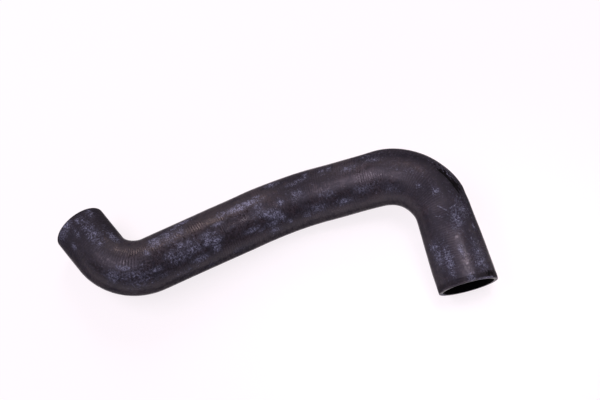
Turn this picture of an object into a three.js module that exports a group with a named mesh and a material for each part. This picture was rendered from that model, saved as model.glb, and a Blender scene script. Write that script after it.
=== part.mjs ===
// A moulded radiator hose, in one piece of fabric-reinforced rubber.
// Millimetres, with +Z up. The hose lies as it comes to rest on level ground: the centre of
// its box's underside is the origin, and its large mouth is along +X from its elbow.
// It is drawn straight first, as a closed ring of wall round the Y axis, and is then laid
// along its centreline, which is a chain of straight runs and round bends.

import * as THREE from 'three';
import { mergeVertices } from 'three/addons/utils/BufferGeometryUtils.js';

// Section of the hose
const wall = 4;
const smallBore = 39;
const lowerBore = 40;
const upperBore = 39.5;
const largeBore = 44;
const edgeChamfer = 0.5;
const flareLength = 76;
const cuffLength = 8;
const kneeSwell = 1.2;
const swellEase = 24;

// Straight runs of the centreline, from the small mouth to the large mouth
const stubLength = 34;
const lowerRunLength = 95;
const upperRunLength = 51;
const legLength = 67;

// Bends: how far each one turns, the radius of the centreline in it, and the side of the
// hose that it turns to, in degrees round the hose from the side that the elbow turns to
const elbowDegrees = 80;
const elbowRadius = 37;
const elbowSideDegrees = 0;
const sweepDegrees = 22;
const sweepRadius = 165;
const sweepSideDegrees = 215;
const kneeDegrees = 85;
const kneeRadius = 48;
const kneeSideDegrees = 160;

// The large mouth was cut a little out of square, and is longest on this side of the hose
const mouthSkewDegrees = 3;
const mouthSkewSideDegrees = -15;

// A low fold on the outer side of the knee, where the wall bunched up in the mould. It rises
// gently towards the leg and ends in a step
const foldHeight = 0.7;
const foldLength = 24;
const foldStep = 4;
const foldHalfSpanDegrees = 40;
const foldSideDegrees = -17;
const foldEndBeforeLeg = 7;

// Fineness of the facets
const facetsRound = 40;
const bendStepDegrees = 9;
const runStep = 30;
const flareSteps = 7;
const swellSteps = 3;

const rubberColor = 0x2b2930;
const rubberRoughness = 0.62;

// The side that faces the ground when the hose is put down, in the frame of the small mouth
const firstDown = new THREE.Vector3(0.5, 0.3, 0.8);

const radians = THREE.MathUtils.degToRad;
const forward = new THREE.Vector3(0, 1, 0);

// The direction across the hose that lies so many degrees round it
function across(degrees) {
  return new THREE.Vector3(Math.cos(radians(degrees)), 0, Math.sin(radians(degrees)));
}

// A frame is a point of the centreline and the turn that points +Y along the hose there
function alongRun(frame, distance) {
  const step = forward.clone().multiplyScalar(distance).applyQuaternion(frame.turn);
  return { point: frame.point.clone().add(step), turn: frame.turn.clone() };
}

function alongBend(frame, bend, distance) {
  const inward = across(bend.sideDegrees);
  const hinge = new THREE.Vector3().crossVectors(forward, inward);
  const swept = new THREE.Quaternion().setFromAxisAngle(hinge, distance / bend.radius);
  const toCentre = inward.multiplyScalar(bend.radius);
  const step = toCentre.clone().sub(toCentre.clone().applyQuaternion(swept));
  return {
    point: frame.point.clone().add(step.applyQuaternion(frame.turn)),
    turn: frame.turn.clone().multiply(swept),
  };
}

function run(length) {
  return { length, step: runStep, follow: alongRun };
}

function bendOf(degrees, radius, sideDegrees) {
  const bend = { radius, sideDegrees };
  return {
    length: radius * radians(degrees),
    step: radius * radians(bendStepDegrees),
    follow: (frame, distance) => alongBend(frame, bend, distance),
  };
}

// The stretches of the centreline in order, each with the frame and the distance it starts at
function layCentreline() {
  const stretches = [
    run(stubLength),
    bendOf(elbowDegrees, elbowRadius, elbowSideDegrees),
    run(lowerRunLength),
    bendOf(sweepDegrees, sweepRadius, sweepSideDegrees),
    run(upperRunLength),
    bendOf(kneeDegrees, kneeRadius, kneeSideDegrees),
    run(legLength),
  ];
  let frame = { point: new THREE.Vector3(), turn: new THREE.Quaternion() };
  let start = 0;
  for (const stretch of stretches) {
    stretch.start = start;
    stretch.frame = frame;
    frame = stretch.follow(frame, stretch.length);
    start += stretch.length;
  }
  return stretches;
}

const centreline = layCentreline();
const [, elbow, , sweep, , knee, leg] = centreline;
const hoseLength = leg.start + leg.length;
const flareStart = hoseLength - cuffLength - flareLength;
const swellStart = knee.start - swellEase / 2;
const swellFade = leg.start - swellEase;
const foldEnd = leg.start - foldEndBeforeLeg;
const foldStart = foldEnd - foldLength;
const foldTop = foldEnd - foldStep;

function frameAt(distance) {
  const reached = centreline.filter((stretch) => stretch.start <= distance);
  const stretch = reached[reached.length - 1] ?? centreline[0];
  return stretch.follow(stretch.frame, distance - stretch.start);
}

// The bore changes from run to run through the elbow and the sweep, is swollen in the knee
// and widens to the large mouth, where a short cuff has an even bore
function boreRadius(distance) {
  const growth = (start, length) => THREE.MathUtils.smoothstep(distance, start, start + length);
  const kneeShare = growth(swellStart, swellEase) * (1 - growth(swellFade, swellEase));
  const bore = smallBore
    + (lowerBore - smallBore) * growth(elbow.start, elbow.length)
    + (upperBore - lowerBore) * growth(sweep.start, sweep.length)
    + (largeBore - upperBore) * growth(flareStart, flareLength)
    + kneeSwell * kneeShare;
  return bore / 2;
}

// Distances along the hose at which its section is drawn
function sectionDistances() {
  const distances = [edgeChamfer, hoseLength - edgeChamfer, foldStart, foldTop, foldEnd];
  for (const stretch of centreline) {
    const steps = Math.ceil(stretch.length / stretch.step);
    for (let i = 0; i < steps; i += 1) {
      distances.push(stretch.start + (stretch.length * i) / steps);
    }
  }
  for (let i = 0; i <= flareSteps; i += 1) {
    distances.push(flareStart + (flareLength * i) / flareSteps);
  }
  for (let i = 0; i <= swellSteps; i += 1) {
    distances.push(swellStart + (swellEase * i) / swellSteps);
  }
  const fromEdge = (distance) => Math.min(distance, hoseLength - distance);
  const inOrder = distances.filter((distance) => fromEdge(distance) >= edgeChamfer)
    .sort((a, b) => a - b);
  return inOrder.filter((distance, i) => i === 0 || distance - inOrder[i - 1] > edgeChamfer);
}

// The section's outline on one side: up the outer wall, across the large mouth, down the
// bore and across the small mouth, with a chamfer at each edge
function straightProfile() {
  const distances = sectionDistances();
  const at = (distance, thickness) => new THREE.Vector2(boreRadius(distance) + thickness, distance);
  const mouth = (distance) => [at(distance, wall - edgeChamfer), at(distance, edgeChamfer)];
  const outer = distances.map((distance) => at(distance, wall));
  const inner = distances.map((distance) => at(distance, 0)).reverse();
  const [smallOuter, smallInner] = mouth(0);
  return [smallOuter, ...outer, ...mouth(hoseLength), ...inner, smallInner, smallOuter.clone()];
}

// How high the fold stands at a place on the outer wall
function foldAt(distance, sideDegrees) {
  const { smoothstep, clamp } = THREE.MathUtils;
  const rise = smoothstep(distance, foldStart, foldTop);
  const fall = clamp((foldEnd - distance) / foldStep, 0, 1);
  const apart = radians(sideDegrees - foldSideDegrees);
  const roundDegrees = THREE.MathUtils.radToDeg(Math.acos(Math.cos(apart)));
  const roundShare = Math.min(roundDegrees / foldHalfSpanDegrees, 1);
  return foldHeight * rise * fall * (1 - roundShare * roundShare);
}

// How far a point of the straight hose is shifted along it for the skewed cut
function skewAt(distance, flat) {
  const share = THREE.MathUtils.smoothstep(distance, leg.start, hoseLength - cuffLength);
  return share * Math.tan(radians(mouthSkewDegrees)) * flat.dot(across(mouthSkewSideDegrees));
}

function layAlongCentreline(geometry) {
  const vertices = geometry.getAttribute('position');
  for (let i = 0; i < vertices.count; i += 1) {
    const distance = vertices.getY(i);
    const flat = new THREE.Vector3(vertices.getX(i), 0, vertices.getZ(i));
    const sideDegrees = THREE.MathUtils.radToDeg(Math.atan2(flat.z, flat.x));
    const onOuterWall = flat.length() > boreRadius(distance) + wall / 2;
    if (onOuterWall) flat.setLength(flat.length() + foldAt(distance, sideDegrees));
    const frame = frameAt(distance + skewAt(distance, flat));
    const place = flat.applyQuaternion(frame.turn).add(frame.point);
    vertices.setXYZ(i, place.x, place.y, place.z);
  }
}

function hoseGeometry() {
  const geometry = new THREE.LatheGeometry(straightProfile(), facetsRound);
  geometry.deleteAttribute('normal');
  geometry.deleteAttribute('uv');
  layAlongCentreline(geometry);
  return mergeVertices(geometry, edgeChamfer / 100);
}

function meshPoints(geometry) {
  const vertices = geometry.getAttribute('position');
  const points = [];
  for (let i = 0; i < vertices.count; i += 1) {
    points.push(new THREE.Vector3().fromBufferAttribute(vertices, i));
  }
  return points;
}

// The centre of the solid, summed over the wedges between its triangles and the frame's origin
function centreOfMass(geometry, points) {
  const corners = geometry.getIndex().array;
  const moment = new THREE.Vector3();
  let volume = 0;
  for (let i = 0; i < corners.length; i += 3) {
    const [a, b, c] = [points[corners[i]], points[corners[i + 1]], points[corners[i + 2]]];
    const wedge = a.dot(new THREE.Vector3().crossVectors(b, c)) / 6;
    const middle = new THREE.Vector3().add(a).add(b).add(c).divideScalar(4);
    moment.addScaledVector(middle, wedge);
    volume += wedge;
  }
  return moment.divideScalar(volume);
}

function farthest(points, direction) {
  let best = points[0];
  for (const point of points) {
    if (point.dot(direction) > best.dot(direction)) best = point;
  }
  return best;
}

// A hose that is put down tips away from its lowest point, in smaller and smaller swings,
// until its centre of mass lies over the points that it stands on
function downAtRest(points, centre) {
  const firstSwing = 0.05;
  const lastSwing = 1e-6;
  const calming = 0.995;
  const down = firstDown.clone().normalize();
  for (let swing = firstSwing; swing > lastSwing; swing *= calming) {
    const lever = farthest(points, down).clone().sub(centre);
    const sideways = lever.projectOnPlane(down).setLength(swing);
    down.sub(sideways).normalize();
  }
  return down;
}

// The turn that lays the hose on the ground with its large mouth along +X from its elbow
function turnAtRest(geometry, points) {
  const down = downAtRest(points, centreOfMass(geometry, points));
  const layDown = new THREE.Quaternion().setFromUnitVectors(down, new THREE.Vector3(0, 0, -1));
  const elbowMiddle = frameAt(elbow.start + elbow.length / 2).point;
  const span = frameAt(hoseLength).point.sub(elbowMiddle).applyQuaternion(layDown);
  const heading = Math.atan2(span.y, span.x);
  const lineUp = new THREE.Quaternion().setFromAxisAngle(new THREE.Vector3(0, 0, 1), -heading);
  return lineUp.multiply(layDown);
}

function radiatorHose() {
  const rubber = new THREE.MeshStandardMaterial({
    color: rubberColor,
    roughness: rubberRoughness,
    metalness: 0,
  });
  const geometry = hoseGeometry();
  const hose = new THREE.Mesh(geometry, rubber);
  hose.name = 'radiator_hose';
  const points = meshPoints(geometry);
  hose.quaternion.copy(turnAtRest(geometry, points));
  const turned = points.map((point) => point.clone().applyQuaternion(hose.quaternion));
  const box = new THREE.Box3().setFromPoints(turned);
  const middle = box.getCenter(new THREE.Vector3());
  hose.position.set(-middle.x, -middle.y, -box.min.z);
  return hose;
}

const part = new THREE.Group();
part.add(radiatorHose());

export default part;
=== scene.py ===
"""A moulded radiator hose that lies at rest on a white studio floor.

Positions are in the row frame. Lengths are in metres, apart from those that are said to be in mm.
"""

import math

import bmesh
import bpy
from bpy.props import FloatProperty, FloatVectorProperty, IntProperty, PointerProperty
from mathutils import Matrix, Quaternion, Vector, noise


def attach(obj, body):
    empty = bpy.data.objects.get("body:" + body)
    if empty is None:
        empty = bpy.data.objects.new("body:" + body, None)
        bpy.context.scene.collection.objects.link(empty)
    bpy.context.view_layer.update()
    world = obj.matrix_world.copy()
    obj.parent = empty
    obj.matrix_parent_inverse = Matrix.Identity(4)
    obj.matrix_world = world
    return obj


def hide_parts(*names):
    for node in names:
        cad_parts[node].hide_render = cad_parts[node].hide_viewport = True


bl_info = {
    "name": "Moulded radiator hose",
    "version": (1, 0, 0),
    "blender": (4, 5, 0),
    "location": "View3D > Sidebar > Hose",
    "description": "Builds a moulded radiator hose and the studio that it lies in",
    "category": "Add Mesh",
}

MM = 0.001

# The hose is shaped straight along this axis and then laid along its centreline
FORWARD = Vector((0, 1, 0))

# Blooms of pale powder on the rubber, and two painted highlights along the large mouth's lip:
# distance along the hose in mm and side in degrees, then how far each one reaches in mm and in
# degrees, and how dense it is
BLOOMS = (
    (2, -121, 3, 8, 0.95), (4, -140, 5, 16, 0.6), (8, -92, 4, 8, 0.6), (5, -66, 6, 8, 0.5),
    (15, -116, 6, 6, 0.4), (24, -89, 15, 13, 0.5), (22, -139, 3, 4, 0.75), (38, -92, 4, 9, 0.5),
    (40, -57, 8, 7, 0.7), (58, -140, 4, 12, 0.6), (64, -121, 4, 4, 0.8), (72, -142, 10, 20, 0.45),
    (84, -134, 4, 6, 0.6), (86, -151, 5, 6, 0.4), (80, -157, 2, 3, 0.5), (82, -94, 2, 7, 0.7),
    (92, -77, 4, 9, 0.95), (104, -80, 6, 17, 0.55), (115, -78, 4, 9, 0.6), (121, -55, 6, 5, 0.8),
    (112, -62, 4, 5, 0.5), (98, -119, 4, 7, 0.75), (106, -131, 9, 10, 0.6), (119, -127, 8, 9, 0.55),
    (122, -152, 6, 6, 0.9), (138, -142, 3, 8, 1.0), (141, -129, 4, 5, 0.9), (133, -124, 5, 8, 0.7),
    (134, -112, 6, 6, 0.6), (112, -112, 10, 7, 0.5), (105, -165, 10, 8, 0.35),
    (128, -181, 8, 7, 0.35), (108, -181, 8, 6, 0.3), (158, -118, 5, 4, 0.3), (147, -100, 4, 3, 0.8),
    (155, -82, 6, 5, 0.6), (173, -85, 11, 6, 1.0), (188, -88, 8, 4, 0.45), (188, -78, 3, 3, 0.7),
    (163, -101, 6, 6, 0.2), (186, -100, 5, 6, 0.5), (184, -114, 6, 8, 0.5), (172, -141, 5, 4, 0.9),
    (179, -150, 4, 4, 0.5), (157, -175, 7, 7, 0.45), (197, -130, 5, 7, 1.1), (192, -145, 6, 6, 0.65),
    (192, -163, 5, 8, 0.65), (203, -140, 4, 8, 0.65), (191, -121, 7, 6, 0.65),
    (210, -155, 2, 4, 0.85), (207, -111, 3, 5, 0.7), (228, -155, 3, 5, 0.65), (240, -147, 8, 9, 0.55),
    (226, -107, 6, 11, 0.45), (224, -80, 7, 4, 0.5), (236, -66, 2, 8, 0.65), (231, -75, 4, 3, 0.5),
    (257, -64, 2, 8, 0.6), (251, -67, 3, 7, 0.5), (205, -57, 5, 8, 0.6), (265, -148, 7, 7, 0.5),
    (275, -80, 7, 7, 0.5), (297, -75, 5, 6, 0.45), (338, -115, 3, 4, 0.5), (351, -97, 3, 6, 0.5),
    (346, -44, 8, 8, 0.35), (377, -80, 8, 12, 0.45), (372, -60, 8, 16, 0.4), (387, -47, 3, 3, 0.6),
    (395, -147, 4, 12, 0.5), (405, -140, 8, 12, 0.45), (410, -122, 11, 7, 0.6), (406, -93, 5, 4, 0.6),
    (415, -60, 13, 13, 0.45), (385, -88, 4, 8, 0.4), (430, -91, 3, 7, 0.8),
    # The two at 433 mm are painted highlights: thin pale lines along the large mouth's lip
    (433, -60, 1, 14, 1.2), (433, 158, 1, 12, 1.2), (285, -132, 9, 10, 0.4),
    (312, -142, 9, 9, 0.35), (252, -122, 7, 8, 0.4), (290, -60, 7, 6, 0.35), (325, -95, 8, 7, 0.2),
)

# Rubbed places, where the rubber has lost its gloss, given in the same way
RUBS = (
    (352, -55, 22, 28, 1.0), (374, -85, 10, 33, 1.0), (345, -105, 12, 22, 1.0),
    (12, -85, 22, 50, 1.0), (316, -62, 20, 17, 1.0), (228, -85, 22, 18, 0.8),
    (410, -121, 28, 13, 1.0),
)

# Patches of painted shade beside the groove and by the large mouth, painted black, given in the same
# way
SHADE_PATCHES = (
    (340, -45, 4, 7.5, 0.65), (345, -50, 4, 7.5, 0.85), (351, -50, 4, 7, 0.85),
    (356, -47, 3.4, 6, 0.8), (429, -46, 2.6, 15, 0.85),
)

# Scratches: where each one starts and ends, as distance in mm and side in degrees
SCRATCHES = (
    ((371, -119), (373.5, -108)), ((378, -121), (375.5, -99)), ((368, -86), (372, -112)),
    ((362, -52), (367, -76)), ((371, -58), (374, -80)), ((376, -44), (380, -72)),
    ((301, -60), (305, -47)), ((304.5, -50), (308.5, -69)), ((340, -62), (345, -44)),
    ((363, -109), (369, -95)), ((384, -104), (374, -88)), ((385, -62), (379, -46)),
    ((372, -97), (381, -82)),
)

# A patch stops at this many times its reach along the hose
PATCH_END = 2.5

# Shares of the groove's depth and of a shade patch's density at which the rubber is painted black
# as shade, how ragged the edge of the black is, how large its specks are, and how many lip radii it
# keeps away from the large mouth's cut end
BLACK_GROOVE = 0.4
BLACK_PATCH = 0.6
BLACK_RAGGED = 0.6
BLACK_SPECK = 1.6 * MM
BLACK_CLEAR = 3

# Facets of a rounded lip, share of the groove's length in which each of its ends runs out, how
# many times finer the finer waves are, their share of the height, and distance at which points
# are merged
LIP_FACETS = 4
GROOVE_END = 0.25
FINER_WAVES = 3
FINER_HEIGHT = 0.25
MERGE = 0.01 * MM

# Black of the rubber's flecks and of the painted shade, specks in the bore, and how matt or shiny the
# bore and the skin are
BLACK = (0.003, 0.0025, 0.003)
BORE_SPECKS = (0.009, 0.007, 0.009)
BORE_ROUGHNESS = 0.8
BORE_SPECULAR = 0.05
SKIN_SPECULAR = 0.42
SKIN_SPECULAR_TINT = (1, 0.86, 1)

# Noises of the rubber: cells in a metre, detail, roughness and distortion
RIB_DRIFT = (40, 2, 0.55, 0)
RIB_WEAR = (55, 2, 0.55, 0)
CLOUDS = (60, 5, 0.65, 0.5)
DRIFTS = (150, 4, 0.6, 1.5)
GAPS = (190, 4, 0.65, 2)
STROKES = (240, 3, 0.6, 2.5)
MOTTLE = (260, 5, 0.75, 0.4)
WISPS = (340, 6, 0.78, 1.8)
BORE_GRAIN = (500, 4, 0.7, 0)
FLECKS = (520, 3, 0.65, 0)
CRACKS = (620, 4, 0.7, 0.6)
GRAIN = (900, 3, 0.6, 0)

# Weights of the noises and patches that make rubber dull, and of those that gather powder
DULL_MIX = {"mottle": 0.6, "clouds": 0.4, "rub": 0.15, "density": 0.2}
POWDER_MIX = {"wisps": 0.7, "drifts": 0.3, "density": 0.28}

# Fades: the value at which a pattern starts, the value at which it is whole, and how strongly
# it shows then
CLOTH_MARKS = (0.42, 0.62, 1)
CRESTS = (-0.6, 0.9, 1)
DULL = (0.46, 0.58, 1)
PALE_FLECKS = (0.5, 0.66, 0.2)
BLACK_FLECKS = (0.5, 0.38, 0.7)
POWDER = (0.56, 0.75, 1)
VEIL = (0.4, 0.62, 0.4)
DENSE = (0.1, 0.7, 1)
CRACKED = (0.56, 0.44, 0.9)
CONTOUR = (0.045, 0.012, 1)
SCRATCH_LINE = (0.8 * MM, 0.2 * MM, 1)
SCRATCH_WEAR = (0.36, 0.6, 0.75)
# Pale lip at the large mouth: wear, and a painted highlight along its edge
LIP_WEAR_AND_HIGHLIGHT = (0.42, 0.6, 0.4)
BORE_FLECKS = (0.4, 0.7, 1)
ROUGH_FLECKS = (0.4, 0.6, 0.16)
SLANTING = (0.25, 0.55, 0.45)
BRIGHT_RIM = (0.9, 0.66, 1)

# Fades by the distance from a cut end: the large mouth's lip, and bands of painted shade next to
# each mouth. The painted shade has its least strength all round, and more of it towards the knee's
# outer side
LARGE_LIP = (1.5 * MM, 0.5 * MM, 1)
LARGE_RIM = (7 * MM, 3.5 * MM, 1)
SMALL_RIM = (1.4 * MM, 0.6 * MM, 1)
RIM_LEAST = 0.55
RIM_SIDE = (-4 * MM, 14 * MM, 0.4)

# Values of their noises that gaps and strokes follow, how strongly gaps show, how pale the
# crests are painted, as wear and as a painted highlight of the ribs, and how much powder is rubbed
# off them
GAP_LEVEL = 0.46
STROKE_LEVEL = 0.5
GAP_STRENGTH = 0.8
CREST_WEAR_AND_HIGHLIGHT = 0.12
CREST_RUB = 0.4

# What dull, powdered and rubbed rubber, and the painted shade, add to the roughness of clean rubber
DULL_ROUGHNESS = 0.12
POWDER_ROUGHNESS = 0.2
RUB_ROUGHNESS = 0.42
DARK_ROUGHNESS = 0.6

# Heights in the relief, and how far the marks of the cloth wander along the hose
GRAIN_HEIGHT = 0.003 * MM
FLECK_HEIGHT = 0.004 * MM
BORE_GRAIN_HEIGHT = 0.05 * MM
RIB_WANDER = 1.6 * MM

# Sockets of a node that mixes colours, where kinds of the same name stand side by side
MIX_SHARE, MIX_FIRST, MIX_SECOND, MIXED = 0, 6, 7, 2

# Middle of the hose, which the large softboxes face
MIDDLE = (0.018, 0.020, 0.040)

# Softboxes: name, place and aim, width and height, watts, spread in degrees and colour
SOFTBOXES = (
    ("back_softbox", (-0.247, 1.903, 1.664), MIDDLE, (0.8, 1.0), 20.0, 180, (1.0, 0.86, 0.76)),
    ("left_softbox", (-1.213, -0.197, 2.205), MIDDLE, (1.6, 0.8), 31.0, 180, (0.95, 0.91, 1.0)),
    ("right_softbox", (0.264, -0.018, 0.541), (0.162, -0.055, 0.050), (0.20, 0.28), 0.115, 32,
     (1.0, 0.97, 1.0)),
)

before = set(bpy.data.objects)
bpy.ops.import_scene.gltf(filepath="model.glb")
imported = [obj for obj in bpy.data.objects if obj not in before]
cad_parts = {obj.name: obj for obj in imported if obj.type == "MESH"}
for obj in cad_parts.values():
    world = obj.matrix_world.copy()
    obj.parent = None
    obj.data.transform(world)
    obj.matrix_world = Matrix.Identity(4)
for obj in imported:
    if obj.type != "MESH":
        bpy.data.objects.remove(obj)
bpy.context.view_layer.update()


def length(name, default, description):
    """A length, with its default in mm."""
    return FloatProperty(name=name, default=default * MM, description=description,
                         unit="LENGTH", subtype="DISTANCE", precision=5, min=0)


def angle(name, degrees, description):
    """An angle, with its default in degrees."""
    return FloatProperty(name=name, default=math.radians(degrees), description=description,
                         unit="ROTATION", subtype="ANGLE")


def amount(name, default, description):
    """A plain number from 0 to 1."""
    return FloatProperty(name=name, default=default, min=0, max=1, description=description)


def color(name, default, description):
    return FloatVectorProperty(name=name, size=3, subtype="COLOR", default=default, min=0, max=1,
                               precision=4, description=description)


class HoseSettings(bpy.types.PropertyGroup):
    """Sizes, colours and gloss of the hose"""

    wall: length("Wall", 4, "Thickness of the rubber")
    small_bore: length("Small bore", 39, "Inside diameter at the small mouth")
    lower_bore: length("Lower bore", 40, "Inside diameter of the lower run")
    upper_bore: length("Upper bore", 39.5, "Inside diameter of the upper run")
    large_bore: length("Large bore", 44, "Inside diameter at the large mouth")
    lip_radius: length("Lip radius", 0.5, "Rounding of the edges at both mouths")
    flare: length("Flare", 76, "Length over which the bore widens to the large mouth")
    cuff: length("Cuff", 8, "Length of even bore at the large mouth")
    knee_swell: length("Knee swell", 1.2, "How much wider the bore is in the knee")
    swell_ease: length("Swell ease", 24, "Length over which the knee's swelling comes and goes")
    stub: length("Stub", 34, "Straight run from the small mouth to the elbow")
    lower_run: length("Lower run", 95, "Straight run from the elbow to the sweep")
    upper_run: length("Upper run", 51, "Straight run from the sweep to the knee")
    leg: length("Leg", 67, "Straight run from the knee to the large mouth")
    elbow_turn: angle("Elbow turn", 80, "How far the elbow turns")
    elbow_radius: length("Elbow radius", 37, "Radius of the centreline in the elbow")
    sweep_turn: angle("Sweep turn", 22, "How far the sweep turns")
    sweep_radius: length("Sweep radius", 165, "Radius of the centreline in the sweep")
    sweep_side: angle("Sweep side", 215, "Side of the hose that the sweep turns to")
    knee_turn: angle("Knee turn", 85, "How far the knee turns")
    knee_radius: length("Knee radius", 48, "Radius of the centreline in the knee")
    knee_side: angle("Knee side", 160, "Side of the hose that the knee turns to")
    mouth_skew: angle("Mouth skew", 3, "How far out of square the large mouth is cut")
    skew_side: angle("Skew side", -15, "Side of the hose that the skewed cut leaves longest")
    fold_height: length("Fold height", 0.7, "Height of the fold on the outer side of the knee")
    fold_length: length("Fold length", 24, "Length of the fold along the hose")
    fold_step: length("Fold step", 4, "Length of the step that the fold ends in")
    fold_span: angle("Fold span", 40, "How far round the hose the fold reaches, each way")
    fold_side: angle("Fold side", -17, "Side of the hose that the fold is on")
    fold_gap: length("Fold gap", 7, "Distance from the end of the fold to the leg")
    groove_depth: length("Groove depth", 1.3, "Depth of the groove beside the fold")
    groove_width: length("Groove width", 3.4, "Width of the groove")
    groove_start: length("Groove start", 337, "Distance along the hose at which it starts")
    groove_length: length("Groove length", 25, "Length of the groove")
    groove_side: angle("Groove side", -58, "Side of the hose that the groove starts on")
    groove_slant: angle("Groove slant", 9, "How far round the hose the groove runs")
    waviness: length("Waviness", 0.22, "How far the moulded wall strays from a true tube")
    wave_span: length("Wave span", 26, "Distance from one stray bulge to the next")
    rib_pitch: length("Rib pitch", 2.15, "Distance between the marks of the wrapping cloth")
    rib_height: length("Rib height", 0.042, "Height of the marks of the wrapping cloth")
    rubber_color: color("Rubber colour", (0.0180, 0.0115, 0.0165), "Warm black of the rubber")
    deep_color: color("Deep colour", (0.0065, 0.0060, 0.0125), "Cold black of the rubber")
    bloom_color: color("Bloom colour", (0.230, 0.230, 0.345), "Pale powder on the rubber")
    # The scuff colour also paints the pale lip and rib crests, partly as painted highlights
    scuff_color: color("Scuff colour", (0.100, 0.080, 0.100), "Scratches and worn edges")
    roughness: amount("Roughness", 0.25, "Roughness of clean rubber")
    facets: IntProperty(name="Facets", default=180, min=24, description="Facets round the hose")
    outer_step: length("Outer step", 1.6, "Distance between rings of the outer wall")
    inner_step: length("Inner step", 4, "Distance between rings of the bore")
    mouth_place: FloatVectorProperty(name="Small mouth", size=3, subtype="TRANSLATION",
                                     unit="LENGTH", precision=5,
                                     default=(-0.17337, -0.00826, 0.02318),
                                     description="Centre of the small mouth")
    mouth_turn: FloatVectorProperty(name="Turn of the small mouth", size=4,
                                    subtype="QUATERNION", precision=5,
                                    default=(0.07402, 0.93422, 0.34859, -0.01566),
                                    description="Turn that points +Y into the small mouth")


class StudioSettings(bpy.types.PropertyGroup):
    """Room, floor and camera of the studio"""

    room_color: color("Room colour", (0.980, 0.930, 1), "Colour of the light from all round")
    room_light: amount("Room light", 0.28, "Strength of the light from all round")
    floor_color: color("Floor colour", (0.220, 0.200, 0.215), "Colour that takes the shadow")
    glow_color: color("Glow colour", (1, 0.950, 0.985), "Colour of the floor's own glow")
    glow: amount("Glow", 0.85, "Strength of the floor's own glow")
    floor_reach: length("Floor reach", 40000, "Distance from the floor's middle to its edges")
    aim: FloatVectorProperty(name="Aim", size=3, subtype="TRANSLATION", unit="LENGTH",
                             precision=5, default=(0.01762, 0.02048, 0.04012),
                             description="Point at the middle of the picture")
    azimuth: angle("Azimuth", 15.87, "Direction of the camera round the hose")
    elevation: angle("Elevation", 66.32, "Height of the camera above the horizon")
    roll: angle("Roll", -11.9, "Turn of the camera about its own line of sight")
    distance: length("Distance", 2500, "Distance from the camera to its aim")
    sight: length("Sight", 100000, "How far the camera sees")
    lens: FloatProperty(name="Lens", default=174.6, min=1, description="Focal length in mm")
    sensor: FloatProperty(name="Sensor", default=36, min=1, description="Width of the film in mm")


# Centreline

class Stretch:
    """A straight run or a round bend of the centreline."""

    def __init__(self, length, radius=None, side=0.0):
        self.length = length
        self.radius = radius
        self.side = side

    def follow(self, start, distance):
        """The axes so far along from the axes at the start; +Y points along the hose."""
        if self.radius is None:
            return start @ Matrix.Translation(FORWARD * distance)
        inward = across(self.side)
        swept = Matrix.Rotation(distance / self.radius, 4, FORWARD.cross(inward))
        centre = Matrix.Translation(inward * self.radius)
        return start @ centre @ swept @ centre.inverted()


def across(side):
    """The direction from the middle of the straight hose to one of its sides."""
    return Vector((math.cos(side), 0, math.sin(side)))


class Centreline:
    """The chain of runs and bends from the small mouth to the large mouth."""

    def __init__(self, hose):
        elbow = Stretch(hose.elbow_turn * hose.elbow_radius, hose.elbow_radius)
        sweep = Stretch(hose.sweep_turn * hose.sweep_radius, hose.sweep_radius, hose.sweep_side)
        knee = Stretch(hose.knee_turn * hose.knee_radius, hose.knee_radius, hose.knee_side)
        chain = [Stretch(hose.stub), elbow, Stretch(hose.lower_run), sweep,
                 Stretch(hose.upper_run), knee, Stretch(hose.leg)]
        turn = Quaternion(hose.mouth_turn).to_matrix().to_4x4()
        axes = Matrix.Translation(hose.mouth_place) @ turn
        reached = 0.0
        self.parts = []
        for stretch in chain:
            self.parts.append((reached, axes, stretch))
            axes = stretch.follow(axes, stretch.length)
            reached += stretch.length
        self.length = reached
        _, self.elbow, _, self.sweep, _, self.knee, self.leg = self.parts

    def axes_at(self, distance):
        reached = [part for part in self.parts if part[0] <= distance] or self.parts[:1]
        start, axes, stretch = reached[-1]
        return stretch.follow(axes, distance - start)


def growth(start, span, distance):
    """From 0 at the start to 1 a span further on, easing in and out."""
    share = min(max((distance - start) / span, 0), 1)
    return share * share * (3 - 2 * share)


def through(part, distance):
    """From 0 where a part of the centreline starts to 1 where it ends."""
    start, _, stretch = part
    return growth(start, stretch.length, distance)


def bore_radius(hose, line, distance):
    knee_start, leg_start = line.knee[0], line.leg[0]
    swelling = growth(knee_start - hose.swell_ease / 2, hose.swell_ease, distance)
    fading = growth(leg_start - hose.swell_ease, hose.swell_ease, distance)
    flare = growth(line.length - hose.cuff - hose.flare, hose.flare, distance)
    bore = hose.small_bore + (hose.lower_bore - hose.small_bore) * through(line.elbow, distance)
    bore += (hose.upper_bore - hose.lower_bore) * through(line.sweep, distance)
    bore += (hose.large_bore - hose.upper_bore) * flare
    bore += hose.knee_swell * swelling * (1 - fading)
    return bore / 2


# Mesh

def even_steps(total, step):
    count = max(1, round(total / step))
    return [total * i / count for i in range(count + 1)]


def wall_outline(bm, hose, line):
    """Half of the hose's straight section, as a closed loop of edges beside the Y axis."""
    outer = [(bore_radius(hose, line, distance) + hose.wall, distance)
             for distance in even_steps(line.length, hose.outer_step)]
    inner = [(bore_radius(hose, line, distance), distance)
             for distance in even_steps(line.length, hose.inner_step)]
    loop = [bm.verts.new((x, y, 0)) for x, y in outer + inner[::-1]]
    for here, there in zip(loop, loop[1:] + loop[:1]):
        bm.edges.new((here, there))
    corners = [loop[0], loop[len(outer) - 1], loop[len(outer)], loop[-1]]
    bmesh.ops.bevel(bm, geom=corners, offset=hose.lip_radius, offset_type="OFFSET",
                    affect="VERTICES", segments=LIP_FACETS, profile=0.5, material=-1)


def spin_wall(bm, hose):
    bmesh.ops.spin(bm, geom=bm.verts[:] + bm.edges[:], cent=(0, 0, 0), axis=(0, 1, 0),
                   dvec=(0, 0, 0), angle=math.tau, steps=hose.facets, use_merge=True,
                   use_duplicate=False)
    bmesh.ops.remove_doubles(bm, verts=bm.verts[:], dist=MERGE)
    bmesh.ops.recalc_face_normals(bm, faces=bm.faces[:])


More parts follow.
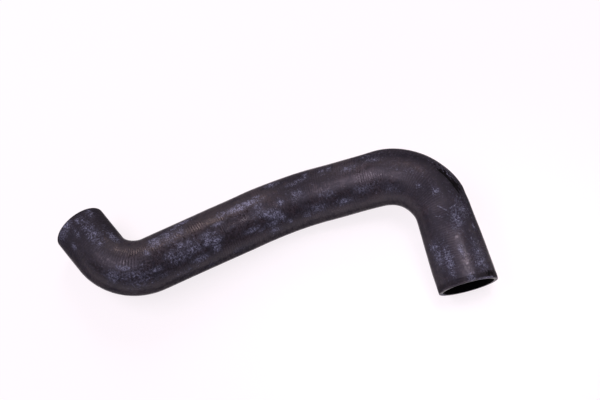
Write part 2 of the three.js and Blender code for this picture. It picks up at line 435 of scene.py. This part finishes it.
def unwrap(bm):
    """UV: share of the way round the hose, and metres along it."""
    layer = bm.loops.layers.uv.new("hose_uv")
    for face in bm.faces:
        middle = face.calc_center_median()
        centre_turn = math.atan2(middle.z, middle.x)
        for loop in face.loops:
            place = loop.vert.co
            turn = math.atan2(place.z, place.x)
            turn += math.tau * round((centre_turn - turn) / math.tau)
            loop[layer].uv = (turn / math.tau + 0.5, place.y)


def in_painted_shade(hose, line, place):
    """Whether a place is painted black as shade: in the bore, the groove's bottom or a shade patch.
    """
    side = math.atan2(place.z, place.x)
    if math.hypot(place.x, place.z) < bore_radius(hose, line, place.y) + hose.lip_radius:
        return True
    if groove_at(hose, place.y, side) > hose.groove_depth * BLACK_GROOVE:
        return True
    if place.y > line.length - hose.lip_radius * BLACK_CLEAR:
        return False
    ragged = noise.noise(place / BLACK_SPECK) * BLACK_RAGGED
    return thickest(SHADE_PATCHES, place.y, side) > BLACK_PATCH + ragged


def mark_painted_shade(bm, hose, line):
    for face in bm.faces:
        face.material_index = int(in_painted_shade(hose, line, face.calc_center_median()))


def keep_finish(bm, hose):
    """Stores each point's place on the straight hose, and its finish, for the material."""
    straight = bm.verts.layers.float_vector.new("straight")
    finish = bm.verts.layers.float_vector.new("finish")
    for vert in bm.verts:
        side = math.atan2(vert.co.z, vert.co.x)
        vert[straight] = vert.co
        bloom = thickest(BLOOMS, vert.co.y, side)
        rub = thickest(RUBS, vert.co.y, side)
        vert[finish] = (bloom, rub, groove_at(hose, vert.co.y, side) / hose.groove_depth)


def thickest(patches, distance, side):
    """Density of the densest patch at a place, each one fading out from its middle."""
    most = 0.0
    for place, turn, reach, span, strength in patches:
        along = (distance / MM - place) / reach
        if abs(along) > PATCH_END:
            continue
        apart = math.degrees(math.acos(math.cos(side - math.radians(turn)))) / span
        most = max(most, strength * math.exp(-(along * along + apart * apart) / 2))
    return most


def fold_at(hose, line, distance, side):
    """Height of the fold at a place on the outer wall."""
    end = line.leg[0] - hose.fold_gap
    rise = growth(end - hose.fold_length, hose.fold_length - hose.fold_step, distance)
    fall = min(max((end - distance) / hose.fold_step, 0), 1)
    apart = min(math.acos(math.cos(side - hose.fold_side)) / hose.fold_span, 1)
    return hose.fold_height * rise * fall * (1 - apart * apart)


def groove_at(hose, distance, side):
    """Depth of the narrow groove that runs along the fold."""
    along = (distance - hose.groove_start) / hose.groove_length
    ends = growth(0, GROOVE_END, along) * growth(0, GROOVE_END, 1 - along)
    middle = hose.groove_side + hose.groove_slant * along
    radius = hose.upper_bore / 2 + hose.wall
    apart = math.acos(math.cos(side - middle)) * radius / (hose.groove_width / 2)
    return hose.groove_depth * ends * math.exp(-apart * apart)


def wave_at(hose, place):
    """Small bulges and hollows of a moulded wall, the same in every run."""
    coarse = noise.noise(place / hose.wave_span)
    fine = noise.noise(place / hose.wave_span * FINER_WAVES)
    return hose.waviness * (coarse + fine * FINER_HEIGHT)


def skew_at(hose, line, distance, flat):
    """How far a point is shifted along the hose for the skewed cut."""
    start = line.leg[0]
    share = growth(start, line.length - hose.cuff - start, distance)
    return share * math.tan(hose.mouth_skew) * flat.dot(across(hose.skew_side))


def lay_along(bm, hose, line):
    """Shapes the outer wall's fold, groove and waves, and bends the straight hose."""
    for vert in bm.verts:
        distance = vert.co.y
        flat = Vector((vert.co.x, 0, vert.co.z))
        side = math.atan2(flat.z, flat.x)
        if flat.length > bore_radius(hose, line, distance) + hose.wall / 2:
            from_mouth = min(distance, line.length - distance)
            flat.length += fold_at(hose, line, distance, side) - groove_at(hose, distance, side)
            flat.length += wave_at(hose, vert.co) * growth(0, hose.wall, from_mouth)
        vert.co = line.axes_at(distance + skew_at(hose, line, distance, flat)) @ flat


def hose_object(hose):
    line = Centreline(hose)
    bm = bmesh.new()
    wall_outline(bm, hose, line)
    spin_wall(bm, hose)
    unwrap(bm)
    mark_painted_shade(bm, hose, line)
    keep_finish(bm, hose)
    lay_along(bm, hose, line)
    for face in bm.faces:
        face.smooth = True
    mesh = bpy.data.meshes.new("hose_skin")
    bm.to_mesh(mesh)
    bm.free()
    return bpy.data.objects.new("hose_skin", mesh)


# Materials

class Graph:
    """Short ways to add and join shader nodes."""

    def __init__(self, material):
        material.use_nodes = True
        self.tree = material.node_tree
        self.tree.nodes.clear()

    def node(self, kind, inputs=None, **settings):
        made = self.tree.nodes.new(kind)
        for key, value in settings.items():
            setattr(made, key, value)
        for key, value in (inputs or {}).items():
            self.put(made.inputs[key], value)
        return made

    def put(self, socket, value):
        if isinstance(value, bpy.types.NodeSocket):
            self.tree.links.new(value, socket)
        else:
            socket.default_value = value

    def attribute(self, name):
        return self.node("ShaderNodeAttribute", attribute_name=name).outputs["Vector"]

    def split(self, vector):
        return self.node("ShaderNodeSeparateXYZ", {"Vector": vector}).outputs

    def math(self, operation, *values):
        made = self.node("ShaderNodeMath", operation=operation)
        for socket, value in zip(made.inputs, values):
            self.put(socket, value)
        return made.outputs[0]

    def joined(self, operation, values):
        result = values[0]
        for value in values[1:]:
            result = self.math(operation, result, value)
        return result

    def plus(self, *values):
        return self.joined("ADD", values)

    def times(self, *values):
        return self.joined("MULTIPLY", values)

    def largest(self, *values):
        return self.joined("MAXIMUM", values)

    def without(self, share):
        """What a share leaves."""
        return self.math("SUBTRACT", 1, share)

    def clamped(self, value):
        return self.node("ShaderNodeClamp", {"Value": value}).outputs[0]

    def vector(self, operation, *values):
        made = self.node("ShaderNodeVectorMath", operation=operation)
        for socket, value in zip(made.inputs, values):
            self.put(socket, value)
        return made.outputs

    def noise(self, place, kind):
        scale, detail, roughness, distortion = kind
        made = self.node("ShaderNodeTexNoise", {"Vector": place, "Scale": scale, "Detail": detail,
                                                "Roughness": roughness, "Distortion": distortion})
        return made.outputs["Fac"]

    def fade(self, value, kind):
        """0 at the start of a fade, easing in to its strength where it is whole."""
        start, whole, strength = kind
        made = self.node("ShaderNodeMapRange", {"Value": value, "From Min": start,
                                                "From Max": whole, "To Max": strength},
                         interpolation_type="SMOOTHSTEP", clamp=True)
        return made.outputs["Result"]

    def contours(self, value, level):
        """1 on the contour lines of a noise, 0 away from them."""
        return self.fade(self.math("ABSOLUTE", self.math("SUBTRACT", value, level)), CONTOUR)

    def mix(self, share, first, second):
        made = self.node("ShaderNodeMix", data_type="RGBA")
        self.put(made.inputs[MIX_SHARE], share)
        self.put(made.inputs[MIX_FIRST], first)
        self.put(made.inputs[MIX_SECOND], second)
        return made.outputs[MIXED]

    def surface(self, kind, inputs):
        shader = self.node(kind, inputs)
        self.node("ShaderNodeOutputMaterial", {"Surface": shader.outputs[0]})


def opaque(rgb):
    return (*rgb, 1)


class RubberFinish:
    """The patterns in the rubber's finish and its painted shade, each worked out once for colour,
    gloss and relief.
    """

    def __init__(self, graph, hose, line):
        self.straight = graph.attribute("straight")
        self.x, self.distance, _ = graph.split(self.straight)
        self.from_end = graph.math("SUBTRACT", line.length, self.distance)
        self.density, self.rub, self.groove = graph.split(graph.attribute("finish"))
        self.wisps = graph.noise(self.straight, WISPS)
        self.flecks = graph.noise(self.straight, FLECKS)
        self.ribs = cloth_ribs(graph, hose, self)
        self.marks = graph.fade(graph.noise(self.straight, RIB_WEAR), CLOTH_MARKS)
        self.crests = graph.times(graph.fade(self.ribs, CRESTS), self.marks)
        self.dull = dull_places(graph, self)
        self.powder = powder_cover(graph, self)
        self.lip = graph.fade(self.from_end, LARGE_LIP)
        # Painted shade: black in the groove and in bands next to the mouths
        self.dark = painted_shade_places(graph, self)


def cloth_ribs(graph, hose, finish):
    """Ribs that the wrapping cloth left, a little unevenly apart."""
    wander = graph.times(graph.noise(finish.straight, RIB_DRIFT), RIB_WANDER)
    phase = graph.times(graph.plus(finish.distance, wander), math.tau / hose.rib_pitch)
    return graph.math("SINE", phase)


def dull_places(graph, finish):
    """Blotches of dull rubber, more of them in rubbed and in powdered places."""
    mottle = graph.times(graph.noise(finish.straight, MOTTLE), DULL_MIX["mottle"])
    clouds = graph.times(graph.noise(finish.straight, CLOUDS), DULL_MIX["clouds"])
    rub = graph.times(finish.rub, DULL_MIX["rub"])
    density = graph.times(finish.density, DULL_MIX["density"])
    return graph.fade(graph.plus(mottle, clouds, rub, density), DULL)


def powder_cover(graph, finish):
    """Wisps, a thin veil and strokes of powder, cracked, and rubbed off the crests of the ribs."""
    wisps = graph.times(finish.wisps, POWDER_MIX["wisps"])
    drifts = graph.times(graph.noise(finish.straight, DRIFTS), POWDER_MIX["drifts"])
    density = graph.times(finish.density, POWDER_MIX["density"])
    cover = graph.fade(graph.plus(wisps, drifts, density), POWDER)
    cover = graph.times(cover, graph.without(graph.times(finish.crests, CREST_RUB)))
    veil = graph.times(finish.density, graph.fade(finish.wisps, VEIL))
    strokes = graph.contours(graph.noise(finish.straight, STROKES), STROKE_LEVEL)
    strokes = graph.times(strokes, graph.fade(finish.density, DENSE))
    cracks = graph.fade(graph.noise(finish.straight, CRACKS), CRACKED)
    return graph.clamped(graph.times(graph.largest(cover, veil, strokes), graph.without(cracks)))


def painted_shade_places(graph, finish):
    """Painted shade: the groove painted black, and a dark band next to each mouth."""
    far = graph.times(graph.fade(finish.from_end, LARGE_RIM), graph.without(finish.lip))
    bands = graph.largest(graph.fade(finish.distance, SMALL_RIM), far)
    bands = graph.times(bands, graph.plus(RIM_LEAST, graph.fade(finish.x, RIM_SIDE)))
    return graph.largest(finish.groove, bands)


def bare_rubber(graph, hose, finish):
    """Warm rubber with cold blotches, pale and black flecks, and crests painted pale as wear and as a
    painted highlight of the ribs.
    """
    rubber = graph.mix(finish.dull, opaque(hose.rubber_color), opaque(hose.deep_color))
    rubber = graph.mix(graph.fade(finish.flecks, PALE_FLECKS), rubber, opaque(hose.scuff_color))
    rubber = graph.mix(graph.fade(finish.flecks, BLACK_FLECKS), rubber, opaque(BLACK))
    return graph.mix(graph.times(finish.crests, CREST_WEAR_AND_HIGHLIGHT), rubber, opaque(hose.scuff_color))


def powdered(graph, hose, finish, rubber):
    gaps = graph.contours(graph.noise(finish.straight, GAPS), GAP_LEVEL)
    gaps = graph.times(gaps, finish.density, GAP_STRENGTH)
    rubber = graph.mix(finish.powder, rubber, opaque(hose.bloom_color))
    return graph.mix(gaps, rubber, opaque(hose.deep_color))


def scratch(graph, hose, finish, ends):
    """1 on a thin line between two places on the hose, 0 away from it."""
    radius = hose.upper_bore / 2 + hose.wall
    start, end = (across(math.radians(side)) * radius + FORWARD * place * MM
                  for place, side in ends)
    along = (end - start).normalized()
    offset = graph.vector("SUBTRACT", finish.straight, start)["Vector"]
    ahead = graph.largest(graph.vector("DOT_PRODUCT", offset, along)["Value"], 0)
    ahead = graph.math("MINIMUM", ahead, (end - start).length)
    nearest = graph.node("ShaderNodeVectorMath", {0: along, "Scale": ahead}, operation="SCALE")
    apart = graph.vector("SUBTRACT", offset, nearest.outputs["Vector"])["Vector"]
    return graph.fade(graph.vector("LENGTH", apart)["Value"], SCRATCH_LINE)


def scratched(graph, hose, finish, rubber):
    scratches = graph.largest(*(scratch(graph, hose, finish, ends) for ends in SCRATCHES))
    scratches = graph.times(scratches, graph.fade(finish.wisps, SCRATCH_WEAR))
    return graph.mix(scratches, rubber, opaque(hose.bloom_color))


def pale_lip_and_painted_shade(graph, hose, finish, rubber):
    """The large mouth's lip worn pale and painted with a highlight, and the groove and the bands at
    the mouths painted black as shade.
    """
    # The lip is painted pale, as wear and as a painted highlight along its edge
    worn = graph.times(finish.lip, graph.fade(finish.wisps, LIP_WEAR_AND_HIGHLIGHT))
    rubber = graph.mix(worn, rubber, opaque(hose.scuff_color))
    return graph.mix(finish.dark, rubber, opaque(BLACK))


def lost_gloss(graph, hose, finish):
    """Roughness, which also rises on slanting walls and falls again at their very edges."""
    facing = graph.node("ShaderNodeLayerWeight", {"Blend": 0.5}).outputs["Facing"]
    slanting = graph.times(graph.fade(facing, SLANTING), graph.fade(facing, BRIGHT_RIM))
    dull = graph.times(finish.dull, DULL_ROUGHNESS)
    flecks = graph.fade(finish.flecks, ROUGH_FLECKS)
    powder = graph.times(finish.powder, POWDER_ROUGHNESS)
    rub = graph.times(finish.rub, RUB_ROUGHNESS)
    dark = graph.times(finish.dark, DARK_ROUGHNESS)
    return graph.clamped(graph.plus(hose.roughness, dull, flecks, powder, rub, slanting, dark))


def relief(graph, hose, finish):
    """Ribs of the cloth, grain and flecks, as bump."""
    ribs = graph.times(finish.ribs, finish.marks, hose.rib_height)
    grain = graph.times(graph.noise(finish.straight, GRAIN), GRAIN_HEIGHT)
    flecks = graph.times(finish.flecks, FLECK_HEIGHT)
    height = graph.plus(ribs, grain, flecks)
    bump = graph.node("ShaderNodeBump", {"Strength": 1, "Distance": 1, "Height": height})
    return bump.outputs[0]


def hose_rubber(hose, line):
    """Rubber of the outside, with powder, wear, the marks of its wrapping cloth, painted highlights
    on the lip and the rib crests, and painted shade in the groove and next to the mouths.
    """
    material = bpy.data.materials.new("hose_rubber")
    graph = Graph(material)
    finish = RubberFinish(graph, hose, line)
    rubber = powdered(graph, hose, finish, bare_rubber(graph, hose, finish))
    rubber = pale_lip_and_painted_shade(graph, hose, finish, scratched(graph, hose, finish, rubber))
    graph.surface("ShaderNodeBsdfPrincipled",
                  {"Base Color": rubber, "Roughness": lost_gloss(graph, hose, finish),
                   "Normal": relief(graph, hose, finish), "Specular IOR Level": SKIN_SPECULAR,
                   "Specular Tint": opaque(SKIN_SPECULAR_TINT)})
    return material


def painted_shade_rubber():
    """Rubber painted black and matt as shade, in the bore, the groove's bottom and the shade patches.
    """
    material = bpy.data.materials.new("painted_shade_rubber")
    graph = Graph(material)
    grain = graph.noise(graph.attribute("straight"), BORE_GRAIN)
    specks = graph.mix(graph.fade(grain, BORE_FLECKS), opaque(BLACK), opaque(BORE_SPECKS))
    bump = graph.node("ShaderNodeBump", {"Distance": BORE_GRAIN_HEIGHT, "Height": grain})
    graph.surface("ShaderNodeBsdfPrincipled",
                  {"Base Color": specks, "Roughness": BORE_ROUGHNESS, "Normal": bump.outputs[0],
                   "Specular IOR Level": BORE_SPECULAR})
    return material


def floor_material(studio):
    """White for the camera and in reflections, with a faint shadow left under the hose."""
    material = bpy.data.materials.new("studio_floor")
    graph = Graph(material)
    path = graph.node("ShaderNodeLightPath").outputs
    seen = graph.plus(path["Is Camera Ray"], path["Is Glossy Ray"], path["Is Transmission Ray"])
    glow = graph.node("ShaderNodeEmission",
                      {"Color": opaque(studio.glow_color),
                       "Strength": graph.times(graph.clamped(seen), studio.glow)})
    matt = graph.node("ShaderNodeBsdfDiffuse", {"Color": opaque(studio.floor_color)})
    graph.surface("ShaderNodeAddShader", {0: matt.outputs[0], 1: glow.outputs[0]})
    return material


def studio_world(studio):
    world = bpy.data.worlds.new("studio")
    world.use_nodes = True
    room = world.node_tree.nodes["Background"].inputs
    room["Color"].default_value = opaque(studio.room_color)
    room["Strength"].default_value = studio.room_light
    return world


# Operators

def link(thing):
    bpy.context.scene.collection.objects.link(thing)
    return thing


class HOSE_OT_add_hose(bpy.types.Operator):
    """Builds the hose and gives it its rubber"""

    bl_idname = "hose.add_hose"
    bl_label = "Add the hose"

    def execute(self, context):
        hose = context.scene.hose
        skin = link(hose_object(hose))
        skin.data.materials.append(hose_rubber(hose, Centreline(hose)))
        skin.data.materials.append(painted_shade_rubber())
        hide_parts("radiator_hose")
        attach(skin, "root")
        return {"FINISHED"}


def add_softbox(name, place, aim, size, watts, spread, tint):
    """A soft light that faces its aim, unseen by the camera."""
    light = bpy.data.lights.new(name, "AREA")
    light.shape = "RECTANGLE"
    light.size, light.size_y = size
    light.energy = watts
    light.spread = math.radians(spread)
    light.color = tint
    thing = link(bpy.data.objects.new(name, light))
    thing.location = place
    thing.visible_camera = False
    away = Vector(place) - Vector(aim)
    thing.rotation_euler = away.to_track_quat("Z", "Y").to_euler()


def camera_turn(studio):
    """The camera's turn, with +Y up in the picture, and the direction back from its aim."""
    level = math.cos(studio.elevation)
    back = Vector((math.sin(studio.azimuth) * level, -math.cos(studio.azimuth) * level,
                   math.sin(studio.elevation)))
    upright = back.to_track_quat("Z", "Y")
    return upright @ Quaternion((0, 0, 1), studio.roll), back


def add_floor(studio):
    bm = bmesh.new()
    bmesh.ops.create_grid(bm, x_segments=1, y_segments=1, size=studio.floor_reach)
    mesh = bpy.data.meshes.new("studio_floor")
    bm.to_mesh(mesh)
    bm.free()
    floor = link(bpy.data.objects.new("studio_floor", mesh))
    floor.data.materials.append(floor_material(studio))


def add_camera(studio):
    camera = bpy.data.cameras.new("camera")
    camera.lens = studio.lens
    camera.sensor_width = studio.sensor
    camera.clip_end = studio.sight
    eye = link(bpy.data.objects.new("camera", camera))
    turn, back = camera_turn(studio)
    eye.rotation_mode = "QUATERNION"
    eye.rotation_quaternion = turn
    eye.location = Vector(studio.aim) + back * studio.distance
    return eye


class HOSE_OT_add_studio(bpy.types.Operator):
    """Adds the floor, the soft lights and the camera"""

    bl_idname = "hose.add_studio"
    bl_label = "Add the studio"

    def execute(self, context):
        scene = context.scene
        add_floor(scene.hose_studio)
        for softbox in SOFTBOXES:
            add_softbox(*softbox)
        scene.camera = add_camera(scene.hose_studio)
        scene.world = studio_world(scene.hose_studio)
        scene.view_settings.view_transform = "Standard"
        return {"FINISHED"}


class HOSE_PT_panel(bpy.types.Panel):
    """Buttons for the hose and its studio"""

    bl_label = "Radiator hose"
    bl_idname = "HOSE_PT_panel"
    bl_space_type = "VIEW_3D"
    bl_region_type = "UI"
    bl_category = "Hose"

    def draw(self, context):
        self.layout.operator("hose.add_hose")
        self.layout.operator("hose.add_studio")


CLASSES = (HoseSettings, StudioSettings, HOSE_OT_add_hose, HOSE_OT_add_studio, HOSE_PT_panel)


def register():
    for cls in CLASSES:
        bpy.utils.register_class(cls)
    bpy.types.Scene.hose = PointerProperty(type=HoseSettings)
    bpy.types.Scene.hose_studio = PointerProperty(type=StudioSettings)


def unregister():
    del bpy.types.Scene.hose_studio
    del bpy.types.Scene.hose
    for cls in reversed(CLASSES):
        bpy.utils.unregister_class(cls)


def main():
    register()
    bpy.ops.hose.add_hose()
    bpy.ops.hose.add_studio()


if __name__ == "__main__":
    main()
